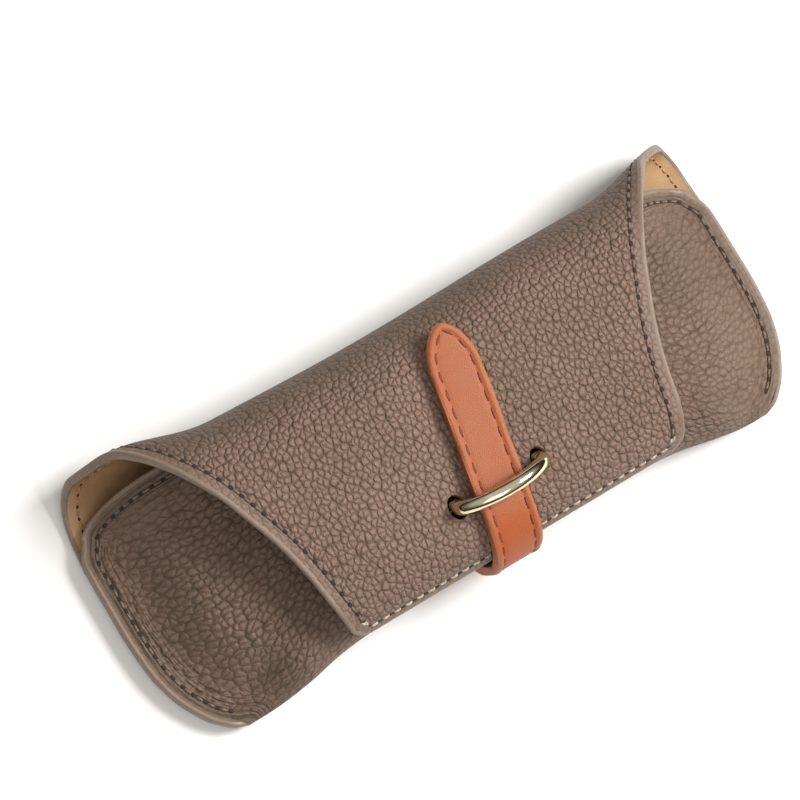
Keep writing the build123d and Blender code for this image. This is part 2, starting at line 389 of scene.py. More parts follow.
stitch_in = 3.0
groove_depth = 0.34
groove_half = 0.5
edge_steps = np.array([0, 0.25, 0.6, 1.1, 1.7, 2.2, 2.55, 2.85, 3.15, 3.5, 3.9, 4.6, 5.6, 8.0])
end_steps = edge_steps[11::-1]
usual_half = 80.0
layout_unit = 0.01
smooth_angle = math.radians(50)


def columns_for(count):
    """Shares of the half width from -1 to 1, crowded towards both ends."""
    near_edge = 1 - edge_steps / usual_half
    inside = np.linspace(0, near_edge[-1], count // 2 + 1)[:-1]
    half = np.concatenate([inside, near_edge[::-1]])
    return np.concatenate([-half[:0:-1], half])


def sheet(name, outer, inner, grain, edge):
    """A closed sheet between two arrays of points in mm, with its grain laid out in mm."""
    across = outer[:, 1:] - outer[:, :-1]
    along = outer[1:] - outer[:-1]
    facing = np.cross(across[:-1], along[:, :-1])
    if np.sum(facing * (outer - inner)[:-1, :-1]) < 0:
        outer, inner, grain, edge = (part[:, ::-1] for part in (outer, inner, grain, edge))
    rows, columns = outer.shape[:2]
    bpy.ops.mesh.primitive_grid_add(
        x_subdivisions=columns - 1, y_subdivisions=rows - 1, size=1
    )
    made = bpy.context.object
    made.name = made.data.name = name
    flat = np.empty(rows * columns * 3)
    made.data.vertices.foreach_get("co", flat)
    flat = flat.reshape(-1, 3)
    column = np.rint((flat[:, 0] + 0.5) * (columns - 1)).astype(int)
    row = np.rint((flat[:, 1] + 0.5) * (rows - 1)).astype(int)
    second_face = made.modifiers.new("second face", "SOLIDIFY")
    second_face.offset = -1
    apply_all(made)
    places = np.concatenate([outer[row, column], inner[row, column]]) * MM
    made.data.vertices.foreach_set("co", places.ravel())
    uv = np.tile(grain[row, column], (2, 1)) * layout_unit
    corner = np.empty(len(made.data.loops), int)
    made.data.loops.foreach_get("vertex_index", corner)
    made.data.uv_layers[0].name = "leather"
    made.data.uv_layers["leather"].data.foreach_set("uv", uv[corner].ravel())
    near = made.data.attributes.new("edge", "FLOAT", "POINT")
    near.data.foreach_set("value", np.tile(edge[row, column], 2).astype(np.float32))
    made.data.update()
    alone(made)
    bpy.ops.object.shade_smooth_by_angle(angle=smooth_angle)
    print(name, "faces:", len(made.data.polygons))
    return made


def outward(points):
    """The unit normals of an array of points, on the side where across cross along points."""
    return unit(np.cross(np.gradient(points, axis=1), np.gradient(points, axis=0)))


def pressed(edge):
    """How deep the stitch line is pressed in, by the distance from the cut edge."""
    return (groove_depth * hump((edge - stitch_in) / groove_half))[..., None]


# %% [markdown]
# ## Socket arithmetic for materials
# Shader nodes are easier to read as sums than as a list of links. A wrapped socket knows how
# to add, multiply and compare, each time by adding a Math node, and one method makes any other
# node from its type, its settings and what goes into its sockets.

# %% Wires and nodes


class Wire:
    """A shader socket that can be used in sums. Nodes go into the material being made."""

    tree = None

    def __init__(self, socket):
        self.socket = socket

    @classmethod
    def node(cls, kind, settings, sockets, output=0):
        """Add a node: settings first, then values or wires into its sockets."""
        made = cls.tree.nodes.new("ShaderNode" + kind)
        for key, value in settings.items():
            if key == "stops":
                ramp = made.color_ramp.elements
                while len(ramp) < len(value):
                    ramp.new(0.5)
                for element, (place, colour) in zip(ramp, value):
                    element.position = place
                    element.color = colour
            else:
                setattr(made, key, value)
        for key, value in sockets.items():
            if isinstance(value, Wire):
                cls.tree.links.new(value.socket, made.inputs[key])
            else:
                made.inputs[key].default_value = value
        return cls(made.outputs[output])

    def maths(self, operation, first, second):
        return Wire.node("Math", {"operation": operation}, {0: first, 1: second})

    def __add__(self, other):
        return self.maths("ADD", self, other)

    __radd__ = __add__

    def __sub__(self, other):
        return self.maths("SUBTRACT", self, other)

    def __rsub__(self, other):
        return self.maths("SUBTRACT", other, self)

    def __mul__(self, other):
        return self.maths("MULTIPLY", self, other)

    __rmul__ = __mul__

    def __truediv__(self, other):
        return self.maths("DIVIDE", self, other)

    def step(self, low, high):
        """A smooth step from 0 at low to 1 at high."""
        ends = {"Value": self, "From Min": low, "From Max": high}
        return Wire.node("MapRange", {"interpolation_type": "SMOOTHSTEP"}, ends)

    def smaller(self, other):
        return self.maths("MINIMUM", self, other)

    def hump(self):
        """1 where the wire is 0, falling smoothly to 0 on both sides."""
        return Wire.node("Math", {"operation": "EXPONENT"}, {0: self * self * -1})


def linear(red, green, blue):
    """A colour read from a screen, 0 to 255, as the linear values that a shader takes."""
    shares = [v / 255 for v in (red, green, blue)]
    return [
        v / 12.92 if v <= 0.04045 else ((v + 0.055) / 1.055) ** 2.4 for v in shares
    ] + [1.0]


def mixed(share, first, second):
    """A colour between two, by a wire from 0 to 1."""
    sockets = {"Factor": share, "A": first, "B": second}
    return Wire.node("Mix", {"data_type": "RGBA"}, sockets, 2)


def mapped(across=1.0, along=1.0):
    """The piece's flat leather layout in millimetres, scaled across and along."""
    layout = Wire.node("UVMap", {"uv_map": "leather"}, {})
    factor = [across / layout_unit, along / layout_unit, 1 / layout_unit]
    return Wire.node("VectorMath", {"operation": "MULTIPLY"}, {0: layout, 1: factor})


def mapped_along():
    """How far along the leather a point is, in millimetres."""
    return Wire.node("SeparateXYZ", {}, {0: mapped()}, 1)


def speckled(scale, detail=2.0):
    """Noise from 0 to 1 through a piece's own coordinates, with this many specks a metre."""
    place = Wire.node("TexCoord", {}, {}, "Object")
    return Wire.node("TexNoise", {}, {"Vector": place, "Scale": scale, "Detail": detail})


def bumped(height, distance, strength=1.0):
    """A normal from a height, in millimetres."""
    sockets = {"Strength": strength, "Distance": distance * MM, "Height": height}
    return Wire.node("Bump", {}, sockets)


def surface(name, values):
    """Start a material, and finish it from a function that returns the shader's sockets."""
    material = bpy.data.materials.new(name)
    material.use_nodes = True
    Wire.tree = material.node_tree
    Wire.tree.nodes.clear()
    shader = Wire.node("BsdfPrincipled", {}, values())
    output = Wire.tree.nodes.new("ShaderNodeOutputMaterial")
    Wire.tree.links.new(shader.socket, output.inputs["Surface"])
    return material


print("taupe as linear values:", [round(v, 3) for v in linear(125, 108, 94)])

# %% [markdown]
# ## Pebbled taupe leather
# Milled leather shows rounded pebbles about two millimetres across. The creases between them
# are darkened with painted shade, and the pebbles' domes are painted lighter and redder as a
# painted highlight, mixed with random patches. Cell patterns on the flat layout give the
# pebbles, so they keep their size round every bend. On the pocket's front they are longer, and
# their colours are a darker copy of the same leather, which is painted shade; the valleys of the
# wrinkles along the seams are painted darker too. On the roll the grain is smoother, and its
# colour is painted darker and browner as painted shade. Near a cut edge the leather is pressed,
# so the pebbles fade out there and the stitch line sinks in, with painted shade in its groove.

# %% Pebbled leather
taupe = linear(114, 93, 77)
# Painted highlight on the pebbles' domes, also used for random patches.
taupe_highlight_and_patch = linear(140, 112, 97)
taupe_border = linear(121, 101, 86)
# Painted shade for the creases, the wrinkle valleys and the stitch groove.
taupe_crease_shade = linear(78, 62, 49)
# Painted shade on the roll.
taupe_roll_shade = linear(80, 59, 40)
# A darker copy of the same taupe for the pocket's front: painted shade.
pocket_shaded_taupe = linear(101, 82, 66)
pocket_shaded_highlight_and_patch = linear(124, 99, 83)
pocket_shaded_border = linear(112, 94, 79)
fine_stretch = (1.16, 1.06)
long_stretch = (0.84, 1.1)
front_blend = (-4.0, -26.0)
pebble = {"Scale": 0.57, "Randomness": 0.86}


def noise(place, scale, detail, output=0):
    """Soft clouds from 0 to 1 on a flat layout."""
    sockets = {"Vector": place, "Scale": scale, "Detail": detail}
    return Wire.node("TexNoise", {"noise_dimensions": "2D"}, sockets, output)


def cells(place, sockets, feature="DISTANCE_TO_EDGE"):
    """Irregular cells on a flat layout: the distance from their borders, or another feature."""
    settings = {"voronoi_dimensions": "2D", "feature": feature}
    return Wire.node("TexVoronoi", settings, {"Vector": place, **sockets})


def edge_distance():
    """The distance from the cut edge, in millimetres."""
    return Wire.node("Attribute", {"attribute_name": "edge"}, {}, 2)


def pebbles(stretch):
    """Rounded pebbles on the layout: their height, the creases' distance and their domes."""
    layout = mapped(*stretch)
    drift = noise(layout, 0.5, 2.0, 1)
    place = {0: drift, 1: [0.9, 0.9, 0], 2: layout}
    place = Wire.node("VectorMath", {"operation": "MULTIPLY_ADD"}, place)
    gap = cells(place, pebble)
    from_middle = cells(place, {**pebble, "Smoothness": 0.6}, "SMOOTH_F1")
    dome = 1 - from_middle * from_middle * 1.8
    small = cells(place, {"Scale": 1.5}).step(0.0, 0.4)
    return gap.step(-0.1, 0.34) * 0.5 + dome * 0.55 + small * 0.1, gap, dome


def pebbled_values(creased_and_shaded):
    """The leather's shader sockets; the pocket's version adds seam wrinkles and painted shade."""
    def values():
        pores = noise(mapped(), 3.6, 3.0)
        patches = noise(mapped(), 0.045, 2.0).step(0.35, 0.7)
        along = mapped_along()
        edge = edge_distance()
        inside = edge.step(1.4, 4.2)
        grain, gap, dome = pebbles(fine_stretch)
        if creased_and_shaded:
            front = along.step(*front_blend)
            grain, gap, dome = (
                fine + (coarse - fine) * front
                for fine, coarse in zip((grain, gap, dome), pebbles(long_stretch))
            )
        groove = ((edge - stitch_in) / 0.55).hump()
        # Painted shade in the creases between the pebbles.
        crease_shade = gap.step(0.17, 0.0) * 0.36
        height = (grain + pores * 0.1) * (inside * 0.72 + 0.28)
        # Painted highlight: the pebbles' domes are lighter and redder, mixed with random patches.
        top = dome * 0.6 + patches * 0.4
        colour = mixed(top, taupe, taupe_highlight_and_patch)
        if creased_and_shaded:
            full = edge.step(2.0, 17.0) * 0.5 + 0.5
            folds = noise(Wire.node("CombineXYZ", {}, {0: edge, 1: along * 0.13}), 1.0, 2.0)
            near = edge.step(10.0, 4.0) * edge.step(1.2, 2.4)
            height = height * full + folds * near * 1.9
            # Painted shade in the valleys of the wrinkles.
            crease_shade = crease_shade * full + folds.step(0.46, 0.34) * near * 0.42
            # Painted shade: on the pocket's front the colour and the border take a darker copy.
            colour = mixed(front, colour, mixed(top, pocket_shaded_taupe, pocket_shaded_highlight_and_patch))
            border = mixed(front, taupe_border, pocket_shaded_border)
        else:
            # On the roll the grain is smoother, and the colour is painted darker and browner:
            # painted shade.
            roll_smooth_and_shaded = along.step(53.0, 36.0) * along.step(8.0, 24.0)
            height = height * (1 - roll_smooth_and_shaded * 0.4)
            colour = mixed(roll_smooth_and_shaded * 0.65, colour, taupe_roll_shade)
            border = taupe_border
        colour = mixed((1 - inside) * 0.6, colour, border)
        # Painted shade: the creases, the wrinkle valleys and the stitch groove darken the colour.
        colour = mixed((crease_shade + groove * 0.16).smaller(1.0), colour, taupe_crease_shade)
        return {
            "Base Color": colour,
            "Roughness": 0.64 - dome * 0.12 + pores * 0.1,
            "Specular IOR Level": 0.42,
            "Normal": bumped(height, 0.66),
        }
    return values


pebbled = surface("pebbled_leather", pebbled_values(False))
creased_shaded_leather = surface("creased_shaded_leather", pebbled_values(True))
print("pebbled leather nodes:", len(pebbled.node_tree.nodes))

# %% [markdown]
# ## Tan lining and painted edge
# The lining is smooth vegetable tan with a fine fibre and small cloudy spots. The cut edges of
# both layers are covered with one rounded coat of edge paint, lighter and smoother than the
# leather.

# %% Lining and edge paint
tan = linear(179, 144, 106)
tan_deep = linear(162, 124, 87)
paint = linear(132, 113, 98)


def lining_values():
    cloud = noise(mapped(), 0.12, 4.0)
    fibre = noise(mapped(), 2.4, 4.0)
    return {
        "Base Color": mixed(cloud.step(0.3, 0.75), tan, tan_deep),
        "Roughness": 0.6 + fibre * 0.16,
        "Specular IOR Level": 0.35,
        "Normal": bumped(fibre, 0.08),
    }


def paint_values():
    dust = speckled(900.0)
    return {
        "Base Color": mixed(dust.step(0.3, 0.8) * 0.5, paint, taupe),
        "Roughness": 0.42 + dust * 0.12,
        "Normal": bumped(dust, 0.05),
    }


lining_leather = surface("tan_lining", lining_values)
edge_paint = surface("edge_paint", paint_values)

# %% [markdown]
# ## Pocket: leather and lining
# The rows of the pocket's sheet start on the back just under the roll, go down to the bend,
# round it, and up the front to the mouth. Each row reaches out to the sewn outline at its own
# height, so the rounded bottom corners need no trimming. The lining is the same form, set in by
# the leather's thickness.

# %% Pocket sheets
split_y = roll_y - low_bend - back_run
corner_y = bottom_y(low_x) + border_thick / 2
first_half = 85.0
bend_angles = (270, 90)
front_length = 46.0
rows_end = 0.895


def pocket_rows(columns, back_rows, bend_rows, front_rows):
    """Outer points of the pocket's sheet, their layout and their distance from the cut edge."""
    points, layout, edges = [], [], []
    share = columns_for(columns)

    def reach(height, outline):
        """Places across a row. Its height and its half width depend on each other."""
        half = np.full(1, first_half)
        for _ in range(12):
            half = outline(height(half))
        return share * half

    def add(xyz, along, edge):
        points.append(xyz)
        layout.append(np.stack([xyz[..., 0], along], -1))
        edges.append(edge)

    def back_start(x):
        return bottom_y(np.abs(x)) + bend_radius(x)

    for t in np.linspace(0, 1, back_rows)[:-1]:
        x = reach(lambda half: split_y + t * (back_start(half) - split_y), seam_x)
        y = split_y + t * (back_start(x) - split_y)
        add(back_face(x, y), y - split_y, distance_to(seam_points, x, y))
    for angle in np.radians(np.linspace(*bend_angles, bend_rows)):
        def bend_y(x):
            return back_start(x) + bend_radius(x) * np.cos(angle)
        x = reach(bend_y, seam_x)
        radius = bend_radius(x)
        start = back_start(x)
        height = border_thick + (2 * radius - border_thick) * pinch(x, start)
        z = height * (1 + np.sin(angle)) / 2
        along = start - split_y - radius * (math.radians(bend_angles[0]) - angle)
        add(np.stack([x, bend_y(x), z], -1), along, distance_to(seam_points, x, bend_y(x)))
    mouth_x = np.linspace(mouth_end[0], 0, 160)
    front_edge = np.concatenate([
        np.stack([front_seam_x(seam_y), seam_y], -1)[seam_y < mouth_end[1]],
        np.stack([mouth_x, mouth_y(mouth_x)], -1),
    ])
    near_mouth = 1 - end_steps / front_length
    for t in np.concatenate([np.linspace(0, rows_end, front_rows)[1:], near_mouth]):
        def rise(x):
            return back_start(x) + t * (mouth_y(np.abs(x)) - back_start(x))
        x = reach(rise, front_seam_x)
        y = rise(x)
        along = back_start(x) - split_y - math.pi * bend_radius(x) - (y - back_start(x))
        add(front_face(x, y), along, distance_to(front_edge, x, y))
    return np.array(points), np.array(layout), np.array(edges)


outer, layout, edge = pocket_rows(84, 40, 22, 66)
normal = outward(outer)
groove = pressed(edge) * eased((outer[..., 1:2] - corner_y) / 2 + 1)
pocket_leather = sheet(
    "pocket_leather", outer - groove * normal, outer - leather * normal, layout, edge
)
outer, layout, edge = pocket_rows(44, 16, 16, 36)
normal = outward(outer)
pocket_lining = sheet(
    "pocket_lining", outer - leather * normal, outer - wall * normal, layout, edge
)

# %% [markdown]
# ## Roll and flap: leather and lining in three lengths
# The real leather is one length, but each of its three bends turns about its own hinge when
# the case is opened. The sheet is therefore cut where it is flat, into three lengths that meet
# edge to edge.

# %% Roll and flap sheets
lower_split = upright_start + 1.4
upper_split = high_start - 1.0
lengths = {
    "roll_lower": (0.0, lower_split, 18),
    "roll_back": (lower_split, upper_split, 7),
    "flap": (upper_split, flap_end, 96),
}
flap_cut = flap_path(0, flap_end)


def fold_rows(columns, start, end, count):
    """Outer points of a length of the roll or flap, their layout and distance from the edge."""
    s = np.linspace(start, end, count)
    if end == flap_end:
        ends = flap_end - end_steps
        s = np.concatenate([np.linspace(start, ends[0], count), ends])
    x = columns_for(columns)[None, :] * flap_width(s)[:, None]
    s = np.repeat(s[:, None], x.shape[1], axis=1)
    return fold_face(x, s), np.stack([x, s], -1), distance_to(flap_cut, x, s)


fold_leathers, fold_linings = {}, {}
for name, (start, end, count) in lengths.items():
    outer, layout, edge = fold_rows(96, start, end, count)
    normal = -outward(outer)
    skin, split = outer - pressed(edge) * normal, outer - leather * normal
    fold_leathers[name] = sheet(name + "_leather_sheet", skin, split, layout, edge)
    fold_linings[name] = sheet(
        name + "_lining_sheet", split, outer - wall * normal, layout, edge
    )

# %% [markdown]
# ## Ring holes
# The ring's legs pass through two oval holes in the flap. They are cut with oval plugs and a
# Boolean, because a hole painted dark would show from the side. The lining's are a little
# wider, so that the legs clear it when the ring swivels.

# %% Cut the ring holes
hole_spot = fold_face(np.array([hole_x]), np.array([hole_s]))[0] * MM
hole_stretch = 1.38
for piece, hole_radius in ((fold_leathers["flap"], 2.1), (fold_linings["flap"], 2.7)):
    for side in (-1, 1):
        bpy.ops.mesh.primitive_cylinder_add(
            vertices=32, radius=hole_radius * MM, depth=9 * MM,
            location=tuple(hole_spot * (side, 1, 1)), scale=(1, hole_stretch, 1),
            rotation=(-math.radians(flap_slope), 0, 0),
        )
        plug = bpy.context.object
        cut = piece.modifiers.new("hole", "BOOLEAN")
        cut.operation = "DIFFERENCE"
        cut.object = plug
        apply_all(piece)
        bpy.data.objects.remove(plug)
    print(piece.name, "faces after the holes:", len(piece.data.polygons))

# %% [markdown]
# ## Painted edges
# Edge paint is brushed on in coats until it stands as a rounded bead over both layers. The
# bead is a small section carried along the cut edge. A bevel on the sheets would leave the line
# between leather and lining open.

# %% Bead maker
bead_proud = 0.45
bead_lap = 0.7
bead_over = 0.05


def face_normal(face, a, b, sign):
    """The unit normals at places on a face, on the side that the sign picks."""
    e = 0.05
    along, across = face(a, b + e) - face(a, b - e), face(a + e, b) - face(a - e, b)
    return unit(np.cross(along, across)) * sign


def along_edge(face, sign, path):
    """Places, outward sides and normals along a path of a face."""
    place = face(*path.T)
    normal = face_normal(face, *path.T, sign)
    return place, unit(np.cross(normal, np.gradient(place, axis=0))), normal


def made_of(name, points, faces):
    """A selected piece of points in mm and faces."""
    mesh = bpy.data.meshes.new(name)
    mesh.from_pydata((points.reshape(-1, 3) * MM).tolist(), [], faces)
    made = placed(name, mesh)
    alone(made)
    return made


def bead(name, frames, section):
    """A closed strip that carries a section of (outward, up) points along frames."""
    place, side, normal = frames
    ring = np.array(section, float)
    if ring.ndim == 2:
        ring = np.repeat(ring[None], len(place), axis=0)
    places = place[:, None] + side[:, None] * ring[..., :1] + normal[:, None] * ring[..., 1:]
    count, around = ring.shape[:2]
    faces = [
        (i * around + j, i * around + (j + 1) % around,
         (i + 1) * around + (j + 1) % around, (i + 1) * around + j)
        for i in range(count - 1) for j in range(around)
    ]
    last = range((count - 1) * around, count * around)
    made = made_of(name, places, faces + [tuple(range(around))[::-1], tuple(last)])
    bpy.ops.object.mode_set(mode="EDIT")
    bpy.ops.mesh.select_all(action="SELECT")
    bpy.ops.mesh.normals_make_consistent(inside=False)
    bpy.ops.object.mode_set(mode="OBJECT")
    bpy.ops.object.shade_smooth_by_angle(angle=smooth_angle)
    return made


def rounded(thick, proud=bead_proud):
    """A bead's section over an edge of this thickness, from the outer face downwards."""
    half = thick / 2 + bead_over
    turns = np.linspace(1, -1, 9) * math.pi / 2
    curve = [(proud * max(np.cos(t), 0) ** 0.7, half * np.sin(t) - thick / 2) for t in turns]
    start = [(-bead_lap, 0.0), (-bead_lap / 2, bead_over)]
    return start + curve + [(-bead_lap / 2, -thick - bead_over), (-bead_lap, -thick)]


def joined(name, parts):
    """Join pieces into one."""
    bpy.ops.object.select_all(action="DESELECT")
    for part in parts:
        part.select_set(True)
    bpy.context.view_layer.objects.active = parts[0]
    if len(parts) > 1:
        bpy.ops.object.join()
    parts[0].name = parts[0].data.name = name
    print(name, "faces:", len(parts[0].data.polygons))
    return parts[0]


def mirrored(path):
    """The path on the left side, run the other way."""
    return path[::-1] * np.array([-1, 1])


def both_sides(path):
    """A path to the middle that goes on down the left side."""
    return np.concatenate([path, mirrored(path)[1:]])


fold_beads = {}
for name, (start, end, _) in lengths.items():
    path = flap_path(start, end)
    runs = [both_sides(path)] if name == "flap" else [path, mirrored(path)]
    parts = [bead(name, along_edge(fold_face, 1, run), rounded(wall)) for run in runs]
    fold_beads[name] = joined(name + "_painted_edge", parts)

# %% [markdown]
# ## Painted edges of the pocket
# At the end seams one bead covers both sheets and follows the leather round the bottom corner.
# Where the seam ends, the bead thins to the mouth's single wall.

# %% Pocket beads
mouth_opens = 15.0
mouth_opens_run = 6.0
end_zone = 80.0
within = 0.03
round_end = border_thick / 2 * np.sin(np.linspace(math.radians(85), 0, 14))[:-1]
seam_run = np.concatenate([corner_y - round_end, np.linspace(corner_y, split_y, 84)])
back_path = np.stack([seam_x(seam_run), seam_run], -1)
front_run = np.linspace(-34.6, mouth_end[1], 90)
front_path = np.stack([front_seam_x(front_run), front_run], -1)
pocket_parts = []
for path in (back_path, mirrored(back_path)):
    frames = along_edge(back_face, 1, path)
    share = np.sqrt(1 - (np.maximum(corner_y - path[:, 1], 0) / border_thick * 2) ** 2)
    section = np.array([rounded(border_thick, bead_proud * t) for t in share])
    section[..., 1] = (section[..., 1] + border_thick / 2) * share[:, None] - border_thick / 2
    pocket_parts.append(bead("seam", frames, section))
mouth_run = np.linspace(mouth_end[0], 0, 120)
mouth_half = np.stack([mouth_run, mouth_y(mouth_run)], -1)
short = front_path[front_path[:, 1] > split_y - 1.2]
mouth_path = np.concatenate(
    [short, mouth_half[1:], mirrored(mouth_half)[1:], mirrored(short)[1:]]
)[::-1]
closed = 1 - eased((mouth_path[:, 1] - mouth_opens) / mouth_opens_run)
closed *= np.abs(mouth_path[:, 0]) > end_zone
section = np.array([rounded(wall + (border_thick - 2 * within - wall) * t) for t in closed])
section -= within * closed[:, None, None]
pocket_parts.append(bead("mouth", along_edge(front_face, -1, mouth_path), section))
pocket_bead = joined("pocket_painted_edge", pocket_parts)

# %% [markdown]
# ## Stitches
# The seams are sewn with a thick thread three millimetres in from the edge. Each stitch is a
# short capsule that dips into the leather at both ends, where the needle made a hole; each hole
# is a small dark disc of painted shade. On the strap a dark slot under each stitch is its painted
# shadow. A stitch is modelled once and copied along the line. A dashed line in the material would
# stay flat when the light comes from the side.

# %% One stitch, copied along a line


def template(name, segments, rings, size, dip):
    """A small capsule in mm whose ends dip, as points and faces."""
    bpy.ops.mesh.primitive_uv_sphere_add(
        segments=segments, ring_count=rings, radius=0.5, rotation=(0, math.pi / 2, 0)
    )
    ball = bpy.context.object
    alone(ball)
    bpy.ops.object.transform_apply(location=True, rotation=True, scale=True)
    points = np.array([v.co for v in ball.data.vertices])
    faces = [tuple(p.vertices) for p in ball.data.polygons]
    bpy.data.objects.remove(ball)
    points[:, 0] = np.sign(points[:, 0]) * 0.5 * np.abs(points[:, 0] * 2) ** 0.7
    points *= np.array(size)
    points[:, 2] -= dip * (points[:, 0] / size[0] * 2) ** 2
    print(name, "faces:", len(faces))
    return points, faces


stitch = template("stitch", 8, 8, (2.2, 0.7, 0.56), 0.3)
strap_stitch = template("strap stitch", 8, 8, (2.5, 0.6, 0.44), 0.26)
# The needle holes are flat dark discs: painted shade in the holes.
hole = template("needle hole", 8, 4, (1.4, 1.0, 0.24), 0.0)
lining_hole = template("lining needle hole", 8, 4, (1.0, 0.75, 0.24), 0.0)
# On the strap the dark slot under each stitch is its painted shadow.
strap_shadow_slot = template("strap needle hole", 8, 4, (3.1, 1.0, 0.24), 0.0)
pit_depth = 0.08


def sideways(path, distance):
    """A path moved in towards the middle of the piece by a distance."""
    run = unit(np.gradient(path, axis=0))
    return path + distance * np.stack([-run[:, 1], run[:, 0]], -1)


def evenly(face, path, pitch):
    """The middles and ends of even stitches along a path on a face, and just past each middle."""
    steps = np.linalg.norm(np.diff(face(*path.T), axis=0), axis=-1)
    length = np.concatenate([[0], np.cumsum(steps)])
    count = max(1, int(round(length[-1] / pitch)))

    def at(where):
        return np.stack([np.interp(where, length, part) for part in path.T], -1)

    middle = (np.arange(count) + 0.5) * length[-1] / count
    return at(middle), at(np.arange(count + 1) * length[-1] / count), at(middle + 0.1)


def copies(name, shape, face, sign, places, ahead, lift):
    """One mesh of a shape copied to places on a face, each turned along the line."""
    points, faces = shape
    normal = face_normal(face, *places.T, sign)
    spot = face(*places.T)
    run = face(*ahead.T) - spot
    run = unit(run - normal * np.sum(run * normal, axis=-1, keepdims=True))
    turns = np.stack([run, np.cross(normal, run), normal], 1)
    made = made_of(name, spot[:, None] + (points + (0, 0, lift)) @ turns, [
        tuple(v + i * len(points) for v in loop) for i in range(len(spot)) for loop in faces
    ])
    bpy.ops.object.shade_smooth()
    return made


def sewn(name, shape, pit, face, sign, path, pitch, thread, lift):
    """Stitches with needle holes of painted shade; a strap's is a painted shadow under each."""
    middle, ends, ahead = evenly(face, path, pitch)
    rows = copies(name, shape, face, sign, middle, ahead, lift)
    if pit is strap_shadow_slot:
        ends, step = middle, ahead - middle
    else:
        step = np.gradient(ends, axis=0) * 0.02
    pits = copies(name + " holes", pit, face, sign, ends, ends + step, lift - pit_depth)
    rows.data.materials.append(thread)
    pits.data.materials.append(strap_stitch_shadow if pit is strap_shadow_slot else needle_hole_shade)
    return joined(name, [rows, pits])


def thread_values(colour, bright):
    def values():
        twist = speckled(2600.0)
        return {
            "Base Color": mixed(twist.step(0.35, 0.7), colour, bright),
            "Roughness": 0.5 + twist * 0.2,
            "Normal": bumped(twist, 0.1),
        }
    return values


# Painted shade for the needle holes and the strap's slots.
def hole_shade_values(dark, light):
    return lambda: {"Base Color": mixed(speckled(1500.0), dark, light), "Roughness": 0.9}


brown_thread, pale_thread_glint, rust_thread, amber_thread, needle_hole_shade, strap_stitch_shadow = (
    surface(name, values(linear(*dark), linear(*light)))
    for name, values, dark, light in (
        ("brown_thread", thread_values, (92, 74, 60), (134, 112, 96)),
        # A lighter copy of the brown thread: a painted glint.
        ("pale_thread_glint", thread_values, (150, 134, 116), (214, 202, 184)),
        ("rust_thread", thread_values, (112, 48, 22), (140, 64, 32)),
        ("amber_thread", thread_values, (150, 98, 54), (206, 150, 98)),
        # Painted shade in the needle holes.
        ("needle_hole_shade", hole_shade_values, (40, 30, 24), (58, 44, 36)),
        # The painted shadow under each strap stitch.
        ("strap_stitch_shadow", hole_shade_values, (96, 38, 16), (116, 48, 22)),
    )
)

# %% [markdown]
# ## Sewing
# bottom edge the thread is a paler copy of the brown thread, a painted glint. The pocket is sewn
# along its end seams and its mouth.

# %% Sew the flap and the roll


def fold_under(x, s):
    """The lining's face of the roll and flap."""
    s = np.clip(s, 0.05, flap_end - 0.05)
    return fold_face(x, s) - wall * face_normal(fold_face, x, s, 1)


pitch = 3.1
seam_parts = {}
corner_in = flap_end - flap_corner - 1.0
for name, (start, end, _) in lengths.items():
    path = side = flap_path(start, end)
    if name == "flap":
        side = path[path[:, 1] < corner_in]
    runs = [(side, brown_thread), (mirrored(side), brown_thread)]
    if name == "flap":
        # The bottom edge's paler thread is a painted glint.
        runs.append((both_sides(path[path[:, 1] >= corner_in - 0.4]), pale_thread_glint))
    rows = []
    for run, thread in runs:
        line = sideways(run, stitch_in)
        rows += [
            sewn(name, stitch, hole, fold_face, 1, line, pitch, thread, -0.06),
            sewn(name, stitch, lining_hole, fold_under, -1, line, pitch, amber_thread, 0.06),
        ]
    seam_parts[name] = joined(name + "_stitches", rows)

# %% Sew the pocket
back_seam = back_path[back_path[:, 1] > corner_y + 0.9]
front_half = np.concatenate([front_path[front_path[:, 1] > -32.5], mouth_half[1:]])
pocket_seams = [
    sewn("seam", stitch, hole, face, sign, sideways(run, stitch_in), pitch, brown_thread, lift)
    for face, sign, run, lift in (
        (back_face, 1, back_seam, -0.22),
        (back_face, 1, mirrored(back_seam), -0.22),
        (front_face, -1, both_sides(front_half), -0.04),
    )
]
pocket_stitches = joined("pocket_stitches", pocket_seams)

# %% [markdown]
# ## Strap
# The strap is two layers of smooth orange leather sewn round its edge. It is laid out flat as a
# band with a pointed end, and then bent along a line: up from the bottom bend, round the flap's
# edge and flat up the flap. The border outside the stitches stands a little proud.

# %% Strap surface
strap_half = 6.1
strap_thick = 2.6
strap_point = 11.5
strap_stitch_in = 1.8
strap_round = 0.85
strap_runs = (arc(11.1, -38.42), (5.34, 0), arc(13.3, -94.58), (41.4, 0))
strap_curve = bent_line((-26.635, 2.497), 230, -1, strap_runs)
strap_length = strap_curve[0][-1]
strap_middle = through(
    (0, -3.0), (10, -2.8), (19, -2.4), (27, -2.0), (36, -1.0), (54, 1.9), (strap_length, 5.3)
)


def strap_width(s):
    """Half the strap's width, drawn in to an ogive at the tip."""
    left = np.clip((strap_length - s) / strap_point, 0, 1)
    return strap_half * np.clip(1 - (1 - left) ** 2.1, 0, 1) ** 0.64


def strap_face(a, s, height=strap_thick):
    """A face of the strap, a across it and s along it, at a height above its under side."""
    e = 0.2
    y, z, run_y, run_z = followed(strap_curve, s, e)
    tilt = (strap_middle(s + e) - strap_middle(s - e)) / (2 * e) * a
    x = strap_middle(s) + a
    return np.stack(
        [x, y - tilt * run_y - height * run_z, z - tilt * run_z + height * run_y], -1
    )


